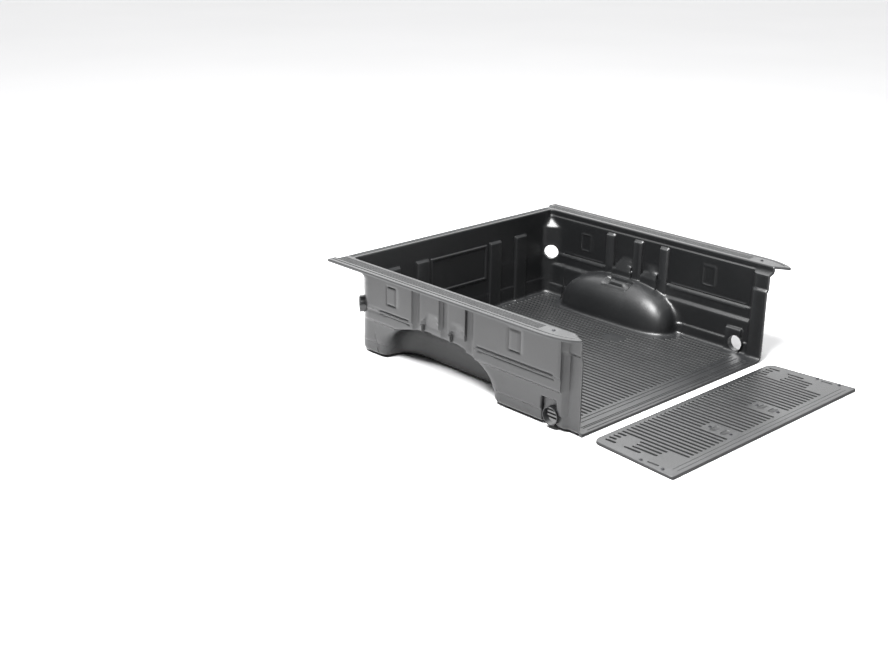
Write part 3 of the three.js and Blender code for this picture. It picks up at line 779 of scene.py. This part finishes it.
def new_material(name):
    """A material, its tree, its shader and the place on the object."""
    material = bpy.data.materials.new(name)
    material.use_nodes = True
    tree = material.node_tree
    place = add_node(tree, "ShaderNodeTexCoord").outputs["Object"]
    return material, tree, tree.nodes["Principled BSDF"], place


def bumped(tree, height, strength, depth):
    inputs = {"Height": height, "Strength": strength, "Distance": depth}
    return add_node(tree, "ShaderNodeBump", inputs).outputs["Normal"]


pebble, _, entry, leave = node_group(
    "pebble_grain", "ShaderNodeTree", (("Place", "Vector"), ("Grain", "Float", 420.0)),
    (("Height", "Float"), ("Wear", "Float"), ("Mottle", "Float")))
grain_place, grain_scale = entry.outputs["Place"], entry.outputs["Grain"]
cells = add_node(pebble, "ShaderNodeTexVoronoi", {
    "Vector": grain_place, "Scale": grain_scale, "Smoothness": 0.6}, feature="SMOOTH_F1")
fine = add_node(pebble, "ShaderNodeTexNoise", {
    "Vector": grain_place, "Scale": math_node(pebble, "MULTIPLY", grain_scale, 2.1), "Detail": 3.0})
stretch = add_node(pebble, "ShaderNodeMapping", {"Vector": grain_place, "Scale": (3.0, 0.7, 3.0)})
rubs = add_node(pebble, "ShaderNodeTexNoise", {
    "Vector": stretch.outputs["Vector"], "Scale": 9.0, "Detail": 6.0, "Roughness": 0.62})
mottle = add_node(pebble, "ShaderNodeTexNoise", {"Vector": grain_place, "Scale": 2.4, "Detail": 4.0})
feed(pebble, leave, {
    "Height": math_node(pebble, "MULTIPLY_ADD", fine.outputs["Fac"], 0.5, cells.outputs["Distance"]),
    "Wear": spread(pebble, rubs.outputs["Fac"], 0.56, 0.78, 0.0, 1.0),
    "Mottle": mottle.outputs["Fac"],
})

# Heights in metres that tell the grooved flats apart: all below LOW_FLATS belongs to a floor, and
# all above CAP_LOW to the caps, whose grooves run from CAP_BED up to CAP_CREST.
LOW_FLATS = 0.02
CAP_LOW = 0.5498
CAP_BED = 0.5525
CAP_CREST = 0.5538


def moulded_plastic(name, dark, pale, rough, grain_depth, crest):
    material, tree, shader, place = new_material(name)
    grain = add_node(tree, "ShaderNodeGroup", node_tree=pebble)
    tree.links.new(place, grain.inputs["Place"])
    shape = add_node(tree, "ShaderNodeNewGeometry")
    # Edges that stand proud are made paler as a painted highlight; pressed-in corners get none, so they stay
    # dark as painted shade.
    edges = spread(tree, shape.outputs["Pointiness"], 0.50, 0.60, 0.0, 1.0)
    facing = add_node(tree, "ShaderNodeSeparateXYZ", {0: shape.outputs["Normal"]})
    upward = spread(tree, facing.outputs["Z"], 0.25, 0.95, 0.0, 1.0)
    wear_and_painted_light = math_node(tree, "MULTIPLY", grain.outputs["Wear"], upward)
    # Rubbing on up-facing faces, mixed with the painted edge highlight.
    wear_and_painted_light = math_node(tree, "MULTIPLY_ADD", edges, 0.55, math_node(tree, "MULTIPLY", wear_and_painted_light, 0.35))
    # The grain's own hollows read as tiny dark specks.
    specks = spread(tree, grain.outputs["Height"], 0.3, 0.9, -0.10, 0.14)
    wear_and_painted_light = math_node(tree, "ADD", wear_and_painted_light, specks)
    # Faces that look upwards are made paler again: a painted highlight from the light above.
    wear_and_painted_light = math_node(tree, "MULTIPLY_ADD", upward, 0.16, wear_and_painted_light)
    # Groove beds are pushed back to the dark colour as painted shade; crests and rail tops are made paler as
    # a painted highlight.
    height = add_node(tree, "ShaderNodeSeparateXYZ", {0: place}).outputs["Z"]
    low_part = math_node(tree, "LESS_THAN", height, LOW_FLATS)
    bed = spread(tree, height, crest - 0.0042, crest - 0.0008, 0.0, 1.0)
    cap_part = math_node(tree, "GREATER_THAN", height, CAP_LOW)
    cap_bed = spread(tree, height, CAP_BED, CAP_CREST, 0.0, 1.0)
    crests = math_node(tree, "ADD", math_node(tree, "MULTIPLY", low_part, bed),
                       math_node(tree, "MULTIPLY", cap_part, cap_bed))
    flats = math_node(tree, "ADD", low_part, cap_part)
    beds = math_node(tree, "SUBTRACT", flats, crests)
    # Painted highlight on the crests, painted shade in the beds.
    wear_and_painted_light = math_node(tree, "MULTIPLY_ADD", crests, 0.14, wear_and_painted_light)
    wear_and_painted_light = math_node(tree, "MULTIPLY_ADD", beds, -0.6, wear_and_painted_light)
    blend = add_node(tree, "ShaderNodeMix", {
        "Factor": wear_and_painted_light, "A": (*dark, 1), "B": (*pale, 1)}, data_type="RGBA", clamp_factor=True)
    gloss = spread(tree, grain.outputs["Mottle"], 0.3, 0.7, rough - 0.05, rough + 0.06)
    gloss = math_node(tree, "MULTIPLY_ADD", grain.outputs["Wear"], 0.06, gloss)
    gloss = math_node(tree, "MULTIPLY_ADD", beds, 0.35, gloss)
    feed(tree, shader, {
        "Base Color": blend.outputs["Result"], "Roughness": gloss, "IOR": 1.51,
        "Normal": bumped(tree, grain.outputs["Height"], 0.55, grain_depth),
    })
    return material


LINER_BLACK = (0.0028, 0.0030, 0.0033)
# The pale end of the mix: the colour of rubbed plastic, and also of the painted highlights.
LINER_RUBBED_AND_HIGHLIGHT = (0.026, 0.027, 0.028)
LINER_ROUGH = 0.37
GRAIN_DEPTH = 0.0005
liner_plastic = moulded_plastic(
    "liner_plastic", LINER_BLACK, LINER_RUBBED_AND_HIGHLIGHT, LINER_ROUGH, GRAIN_DEPTH, FLOOR_TOP * MM)
liner_tub.data.materials.clear()
liner_tub.data.materials.append(liner_plastic)
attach(liner_tub, "tub")
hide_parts("bed_liner_tub")

# ---------------------------------------------------------------------------------------------
# Screws, dished washers, rail clips and nuts. M6 button-head screws in black-plated steel pull
# each rail cap down to a bright zinc-plated J clip, which hooks under the rail's flange.


def turned(work, profile, sides):
    """Spins a profile of (radius, height) about the screw's axis."""
    rings = []
    for radius, height in profile:
        if radius < 1e-6:
            rings.append([work.verts.new((0, 0, height * MM))])
            continue
        turns = [2 * math.pi * k / sides for k in range(sides)]
        places = [(radius * math.cos(a) * MM, radius * math.sin(a) * MM, height * MM) for a in turns]
        rings.append([work.verts.new(place) for place in places])
    for low, high in zip(rings, rings[1:]):
        for k in range(sides):
            n = (k + 1) % sides
            if len(low) == 1:
                work.faces.new((low[0], high[n], high[k]))
            elif len(high) == 1:
                work.faces.new((low[k], low[n], high[0]))
            else:
                work.faces.new((low[k], low[n], high[n], high[k]))


def template(name, build):
    """A mesh that stands at the origin, for a fastener that is set in several places."""
    work = bmesh.new()
    build(work)
    bmesh.ops.remove_doubles(work, verts=work.verts, dist=1e-6)
    bmesh.ops.recalc_face_normals(work, faces=work.faces)
    mesh = bpy.data.meshes.new(name)
    work.to_mesh(mesh)
    work.free()
    return bpy.data.objects.new(name, mesh)


WASHER_LOW = 0.3
WASHER_HEIGHT = 2.0
HEAD_LOW = WASHER_LOW + WASHER_HEIGHT + 0.3


THREAD_ROOT = 2.45
THREAD_CREST = 2.98
THREAD_PITCH = 1.0
# The head from its underside up over the dome and down into the socket: radius, and height over
# the underside.
SCREW_HEAD = (
    (6.9, 0), (7.0, 0.5), (6.7, 1.5), (5.9, 2.4), (4.6, 3.0), (3.2, 3.2), (2.6, 3.1), (2.3, 2.9),
    (2.2, 1.0), (0, 0.7),
)


def screw_shape(length):
    def build(work):
        low = HEAD_LOW - length
        profile = [(0, low), (1.9, low), (2.4, low + 1.0)]
        height = low + 1.0
        # The thread is a run of ridges up to the underside of the head.
        while height + THREAD_PITCH < HEAD_LOW - 1.5:
            ridge = (height + THREAD_PITCH * 0.45, height + THREAD_PITCH * 0.55)
            profile += [(THREAD_ROOT, height), (THREAD_CREST, ridge[0]), (THREAD_CREST, ridge[1])]
            height += THREAD_PITCH
        profile += [(THREAD_ROOT, height), (THREAD_CREST, HEAD_LOW - 1.0), (THREAD_CREST, HEAD_LOW)]
        profile += [(radius, HEAD_LOW + rise) for radius, rise in SCREW_HEAD]
        turned(work, profile, 24)
    return build


def washer_shape(work):
    low, top = WASHER_LOW, WASHER_LOW + WASHER_HEIGHT
    profile = [(3.5, low), (9.7, low), (10.0, low + 0.3), (9.8, low + 0.8), (9.0, low + 1.3)]
    profile += [(7.4, top - 0.15), (7.0, top), (3.8, top), (3.5, top - 0.3), (3.5, low)]
    turned(work, profile, 32)


def bent_strip(work, line, width, thickness):
    """A steel strip of a given width that follows a line of (y, z) bends, in millimetres."""
    points = np.array(line, dtype=float)
    inner = inset(points, thickness, closed=False)
    rows = []
    for side in (-width / 2, width / 2):
        for row in (points, inner):
            rows.append([work.verts.new((side * MM, y * MM, z * MM)) for y, z in row])
    a, b, c, d = rows
    for first, second in ((a, b), (b, d), (d, c), (c, a)):
        for k in range(len(points) - 1):
            work.faces.new((first[k], first[k + 1], second[k + 1], second[k]))
    work.faces.new((a[0], b[0], d[0], c[0]))
    work.faces.new((a[-1], c[-1], d[-1], b[-1]))


def arc(centre, radius, start, end, steps=6):
    turns = np.radians(np.linspace(start, end, steps))
    return [(centre[0] + radius * math.cos(a), centre[1] + radius * math.sin(a)) for a in turns]


CLIP_TOP = -SHEET - 0.3


def rail_clip_shape(work):
    top = CLIP_TOP
    line = [(17, top)] + arc((-13, top - 4), 4, 90, 180) + arc((-13, top - 26), 4, 180, 270)
    line += arc((-3, top - 28), 2, -90, -20, 4)
    bent_strip(work, line, 26, 1.6)


def nut_shape(work):
    top = CLIP_TOP - 0.3 - 1.6
    flange = [(3.2, top), (7.2, top), (7.5, top - 0.3), (7.3, top - 1.0), (5.8, top - 1.3)]
    turned(work, flange + [(3.2, top - 1.3), (3.2, top)], 24)
    low = top - 5.0
    profile = [(3.2, top - 1.2), (5.7, top - 1.2), (5.8, top - 1.5), (5.8, low + 0.5)]
    turned(work, profile + [(5.2, low), (3.2, low), (3.2, top - 1.2)], 6)


def clip_nut_shape(work):
    top = CLIP_TOP
    gap, leaf = 1.6, 1.2
    low = top - 2 * leaf - gap
    line = [(-9.5, top), (-8, top), (11, top)]
    line += arc((11, top - leaf - gap / 2), leaf + gap / 2, 90, -90, 7)
    line += [(-7, low), (-9.5, low - 0.8)]
    bent_strip(work, line[::-1], 16, leaf)
    barrel = [(3.2, low), (5.0, low), (5.0, low - 3.2), (4.4, low - 4.0), (3.2, low - 4.0), (3.2, low)]
    turned(work, barrel, 20)


# A tree that sets one fastener on every place of a piece, and gives it its finish. Turn swings
# it about its axis, one way on the right and the other way on the left.
setting, setting_sockets, entry, leave = node_group(
    "set_fasteners", "GeometryNodeTree",
    (("Places", "Geometry"), ("Fastener", "Object"), ("Finish", "Material"), ("Turn", "Float", 0.0)),
    (("Fasteners", "Geometry"),))
setting.is_modifier = True
info = add_node(setting, "GeometryNodeObjectInfo", {"Object": entry.outputs["Fastener"]})
spot = add_node(setting, "GeometryNodeInputPosition").outputs[0]
hand = math_node(setting, "SIGN", add_node(setting, "ShaderNodeSeparateXYZ", {0: spot}).outputs["X"])
turn_vector = add_node(setting, "ShaderNodeCombineXYZ", {
    "Z": math_node(setting, "MULTIPLY", hand, entry.outputs["Turn"])})
instances = add_node(setting, "GeometryNodeInstanceOnPoints", {
    "Points": entry.outputs["Places"], "Instance": info.outputs["Geometry"],
    "Rotation": turn_vector.outputs[0]})
real = add_node(setting, "GeometryNodeRealizeInstances", {0: instances.outputs[0]})
finished = add_node(setting, "GeometryNodeSetMaterial", {
    "Geometry": real.outputs[0], "Material": entry.outputs["Finish"]})
feed(setting, leave, {0: finished.outputs[0]})


def set_fasteners(name, shape, places, finish, body, nodes, turn=0.0):
    """Sets one kind of fastener in all its places on one body, as a single piece."""
    pattern = template(name + "_pattern", shape)
    mesh = bpy.data.meshes.new(name)
    mesh.from_pydata([Vector(place) * MM for place in places], [], [])
    piece = placed(name, mesh)
    spread_out = piece.modifiers.new("set_fasteners", "NODES")
    spread_out.node_group = setting
    for label, value in (("Fastener", pattern), ("Finish", finish), ("Turn", turn)):
        spread_out[setting_sockets[label]] = value
    settled(piece, 35.0)
    bpy.data.objects.remove(pattern)
    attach(piece, body)
    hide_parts(*nodes)


plated, _, entry, leave = node_group(
    "plated_steel", "ShaderNodeTree",
    (("Place", "Vector"), ("Dark", "Color", (0.01, 0.01, 0.01, 1)), ("Pale", "Color", (0.1, 0.1, 0.1, 1))),
    (("Colour", "Color"), ("Roughness", "Float"), ("Height", "Float")))
steel_place = entry.outputs["Place"]
cloud = add_node(plated, "ShaderNodeTexNoise", {"Vector": steel_place, "Scale": 140.0, "Detail": 5.0})
tone = add_node(plated, "ShaderNodeMix", {
    "Factor": spread(plated, cloud.outputs["Fac"], 0.35, 0.7, 0.0, 1.0),
    "A": entry.outputs["Dark"], "B": entry.outputs["Pale"]}, data_type="RGBA", clamp_factor=True)
grit = add_node(plated, "ShaderNodeTexNoise", {"Vector": steel_place, "Scale": 2600.0})
feed(plated, leave, {
    "Colour": tone.outputs["Result"],
    "Roughness": spread(plated, cloud.outputs["Fac"], 0.3, 0.7, 0.26, 0.46),
    "Height": grit.outputs["Fac"],
})


def plated_steel(name, dark, pale, metallic):
    material, tree, shader, place = new_material(name)
    finish = add_node(tree, "ShaderNodeGroup", node_tree=plated)
    feed(tree, finish, {"Place": place, "Dark": (*dark, 1), "Pale": (*pale, 1)})
    feed(tree, shader, {
        "Base Color": finish.outputs["Colour"], "Roughness": finish.outputs["Roughness"],
        "Metallic": metallic, "Normal": bumped(tree, finish.outputs["Height"], 0.2, 0.0001),
    })
    return material


black_steel = plated_steel("black_steel", (0.016, 0.016, 0.018), (0.07, 0.07, 0.075), 0.85)
zinc_steel = plated_steel("zinc_steel", (0.42, 0.43, 0.44), (0.62, 0.63, 0.62), 1.0)
HANDS = ("left", "right")
rail_places = [(side * RAIL_SCREW[0], RAIL_SCREW[1], RAIL_TOP) for side in (-1, 1)]
for kind, shape, finish, slot, turn in (
    ("screw", screw_shape(22.0), black_steel, "black_steel", 0.0),
    ("washer", washer_shape, black_steel, "black_steel", 0.0),
    ("clip", rail_clip_shape, zinc_steel, "zinc_steel", -math.pi / 2),
    ("nut", nut_shape, zinc_steel, "zinc_steel", 0.0),
):
    nodes = [f"rail_{kind}_{hand}" for hand in HANDS]
    set_fasteners(f"rail_{kind}s", shape, rail_places, finish, "tub", nodes, turn)

# ---------------------------------------------------------------------------------------------
# Tailgate liner. A shallow tray of the same sheet, with its rim turned down to the tailgate's
# inner panel; grooves run between smooth pads, where the screws hold it.

TAILGATE_TOP = SHEET + 12
TAILGATE_FRONT = -874.0
TAILGATE_REAR = TAILGATE_FRONT - 517
TAILGATE_RIM = 5.0
FRONT_HALF = 765.0
REAR_HALF = 800.0
FRONT_CORNER = 60.0
TAILGATE_HALF_MOUTH = 10.6
TAILGATE_PROFILE = (
    (0, 0), (0.9, 0.25), (1.8, 0.95), (2.4, 2.1), (2.8, 4.0), (3.7, 9.0), (4.7, 11.2), (6.0, 11.9), (8.0, 12),
)
tray_right = []
for t in np.linspace(0, 1, 9):
    tray_right.append((
        (FRONT_HALF - FRONT_CORNER) * (1 - t) ** 2 + FRONT_HALF * (2 * t * (1 - t) + t * t),
        TAILGATE_FRONT * ((1 - t) ** 2 + 2 * t * (1 - t)) + (TAILGATE_FRONT - FRONT_CORNER) * t * t,
    ))
REAR_CORNER = 16.0
for t in np.linspace(0, 1, 6):
    tray_right.append((
        REAR_HALF * (1 - t * t) + (REAR_HALF - REAR_CORNER) * t * t,
        (TAILGATE_REAR + REAR_CORNER) * (1 - t) ** 2 + TAILGATE_REAR * (1 - (1 - t) ** 2),
    ))
tray_edge = np.array(tray_right + [(-x, y) for x, y in reversed(tray_right)])
tray_skin = new_skin()
tray_rows = rolled_edge(tray_edge, -TAILGATE_RIM, TAILGATE_TOP, 0.0, closed=True)
bridge(tray_skin, tray_rows, closed=True)

# Smooth pads: a place, a size and how far their corners are cut off.
EIGHT_SIDED = ((645, 127, 104, 92, 30), (645, 376, 104, 92, 30))
MIDDLE_PADS = ((205, 355, 92, 180, 10),)
SIDE_PADS = ((752, 350, 104, 190, 10),)
TAILGATE_SCREWS = (
    ("middle_inner", 205, 291), ("middle_outer", 205, 416), ("side", 762, 301), ("corner", 766, 432),
)


def pad_loop(x, y, width, length, cut_off, grow=0.0):
    half_x, half_y = width / 2 + grow, length / 2 + grow
    return np.array([
        (x - half_x + cut_off, y - half_y), (x + half_x - cut_off, y - half_y),
        (x + half_x, y - half_y + cut_off), (x + half_x, y + half_y - cut_off),
        (x + half_x - cut_off, y + half_y), (x - half_x + cut_off, y + half_y),
        (x - half_x, y + half_y - cut_off), (x - half_x, y - half_y + cut_off),
    ])


tray_openings = []
stations = np.arange(TAILGATE_REAR + 76, TAILGATE_FRONT - 30, 1.0)
corner_middle = (FRONT_HALF - 75, TAILGATE_FRONT - 75)
for number in range(-23, 24):
    x = number * GROOVE_PITCH
    clear = np.ones(len(stations), dtype=bool)
    for side in (-TAILGATE_HALF_MOUTH - 1.5, 0.0, TAILGATE_HALF_MOUTH + 1.5):
        line = np.column_stack([np.full(len(stations), abs(x) + side), stations])
        for px, from_front, width, length, cut_off in EIGHT_SIDED + MIDDLE_PADS + SIDE_PADS:
            clear &= ~inside(pad_loop(px, TAILGATE_FRONT - from_front, width, length, cut_off, 1.0), line)
    past_x = max(abs(x) + TAILGATE_HALF_MOUTH - corner_middle[0], 0)
    past_y = np.maximum(stations - corner_middle[1], 0)
    clear &= np.hypot(past_x, past_y) < 47
    for start, end in open_runs(clear, stations, 34.0):
        ends = [(x, start + TAILGATE_HALF_MOUTH), (x, end - TAILGATE_HALF_MOUTH)]
        loop = channel(ends, TAILGATE_HALF_MOUTH)
        tray_openings.append(dish(tray_skin, loop, TAILGATE_TOP, TAILGATE_PROFILE))
SHALLOW = ((0, 0), (0.8, 0.5), (1.6, 1.6), (2.6, 2.2))
PAD_PANELS = (322, 385)
SIDE_SLOT = (752, 392, 340)
for side in (-1, 1):
    # Two shallow panels on each middle pad, with the screws in front of and behind both, and a
    # short slot on each side pad.
    for from_front in PAD_PANELS:
        loop = rounded(pad_loop(side * 205, TAILGATE_FRONT - from_front, 64, 34, 8.0), 2.5, 3)
        tray_openings.append(dish(tray_skin, loop, TAILGATE_TOP, SHALLOW))
    loop = channel([(side * SIDE_SLOT[0], TAILGATE_FRONT - y) for y in SIDE_SLOT[1:]], 9.0, 6)
    tray_openings.append(dish(tray_skin, loop, TAILGATE_TOP, TAILGATE_PROFILE[:5]))
    for _, x, from_front in TAILGATE_SCREWS:
        tray_openings.append(disc(side * x, TAILGATE_FRONT - from_front, SCREW_HOLE, 16))
# Two fine lines run across behind the grooves.
LINE = ((0, 0), (0.5, 0.4), (1.0, 1.1), (1.5, 1.3))
LINE_HALF = 730
for from_rear in (26.0, 52.0):
    y = TAILGATE_REAR + from_rear
    loop = channel([(-LINE_HALF, y), (LINE_HALF, y)], 2.2, 6)
    tray_openings.append(dish(tray_skin, loop, TAILGATE_TOP, LINE))
flat_plate(tray_skin, tray_rows[0][:, :2], tray_openings, TAILGATE_TOP)
tray = sheet_piece("tailgate_tray", tray_skin, (0.0, TAILGATE_REAR + 38.0, TAILGATE_TOP))
settled(tray)
tray.data.materials.clear()
tray.data.materials.append(moulded_plastic(
    "tailgate_plastic", LINER_BLACK, LINER_RUBBED_AND_HIGHLIGHT, LINER_ROUGH, GRAIN_DEPTH, TAILGATE_TOP * MM))
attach(tray, "tailgate_panel")
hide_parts("tailgate_liner")

# Its fasteners: the same screws and washers, each in a spring clip nut pushed over the panel's edge.
tray_places = []
tray_names = []
for place, x, from_front in TAILGATE_SCREWS:
    for hand, side in zip(HANDS, (-1, 1)):
        tray_places.append((side * x, TAILGATE_FRONT - from_front, TAILGATE_TOP))
        tray_names.append(f"{place}_{hand}")
for kind, shape, finish, slot in (
    ("screw", screw_shape(16.0), black_steel, "black_steel"),
    ("washer", washer_shape, black_steel, "black_steel"),
    ("clip_nut", clip_nut_shape, zinc_steel, "zinc_steel"),
):
    nodes = [f"tailgate_{kind}_{name}" for name in tray_names]
    set_fasteners(f"tailgate_{kind}s", shape, tray_places, finish, "tailgate_panel", nodes)

# ---------------------------------------------------------------------------------------------
# Studio: a pale floor, a square light high over the left rear, and a wide soft sun from beyond the
# bulkhead on the right, where the sky is brightest too.

FLOOR_HALF = 60.0
FLOOR_DROP = -0.002
floor_mesh = bpy.data.meshes.new("studio_floor")
floor_mesh.from_pydata([
    (-FLOOR_HALF, -FLOOR_HALF, FLOOR_DROP), (FLOOR_HALF, -FLOOR_HALF, FLOOR_DROP),
    (FLOOR_HALF, FLOOR_HALF, FLOOR_DROP), (-FLOOR_HALF, FLOOR_HALF, FLOOR_DROP),
], [], [(0, 1, 2, 3)])
studio_floor = placed("studio_floor", floor_mesh)
floor_paint, floor_tree, floor_shader, floor_place = new_material("studio_floor")
floor_tone = add_node(floor_tree, "ShaderNodeTexNoise", {"Vector": floor_place, "Scale": 0.4})
floor_mix = add_node(floor_tree, "ShaderNodeMix", {
    "Factor": floor_tone.outputs["Fac"], "A": (0.74, 0.74, 0.745, 1), "B": (0.78, 0.78, 0.785, 1),
}, data_type="RGBA")
feed(floor_tree, floor_shader, {
    "Base Color": floor_mix.outputs["Result"], "Roughness": 0.9, "Specular IOR Level": 0.1})
floor_mesh.materials.append(floor_paint)

SKY_HEADING = (0.55, 0.55, 0.63)
SKY_DIM = 0.10
SKY_BRIGHT = 0.40
world = bpy.data.worlds.new("studio")
bpy.context.scene.world = world
world.use_nodes = True
sky = world.node_tree
skyward = add_node(sky, "ShaderNodeTexCoord").outputs["Generated"]
heading = add_node(
    sky, "ShaderNodeVectorMath", {0: skyward, 1: SKY_HEADING}, operation="DOT_PRODUCT").outputs["Value"]
feed(sky, sky.nodes["Background"], {
    "Strength": spread(sky, heading, -0.5, 0.95, SKY_DIM, SKY_BRIGHT), "Color": (1.0, 1.0, 1.0, 1.0)})

KEY_WATTS = 1500.0
KEY_WIDTH = 2.8
KEY_PLACE = (-2.5, -0.6, 5.0)
KEY_HEADING = (-2.5, -0.6, 4.7)
SUN_STRENGTH = 3.3
SUN_WIDTH = math.radians(70)
SUN_HEADING = (0.46, 0.5, 0.73)


def look_down(light_object, heading):
    """Turns a light so that it shines along minus heading."""
    light_object.rotation_euler = Vector(heading).to_track_quat("Z", "Y").to_euler()


key = bpy.data.lights.new("overhead_box", "AREA")
key.shape = "SQUARE"
key.size = KEY_WIDTH
key.energy = KEY_WATTS
key_object = placed("overhead_box", key)
key_object.location = KEY_PLACE
look_down(key_object, KEY_HEADING)
sun = bpy.data.lights.new("back_wash", "SUN")
sun.energy = SUN_STRENGTH
sun.angle = SUN_WIDTH
look_down(placed("back_wash", sun), SUN_HEADING)
bpy.context.scene.view_settings.view_transform = "Standard"
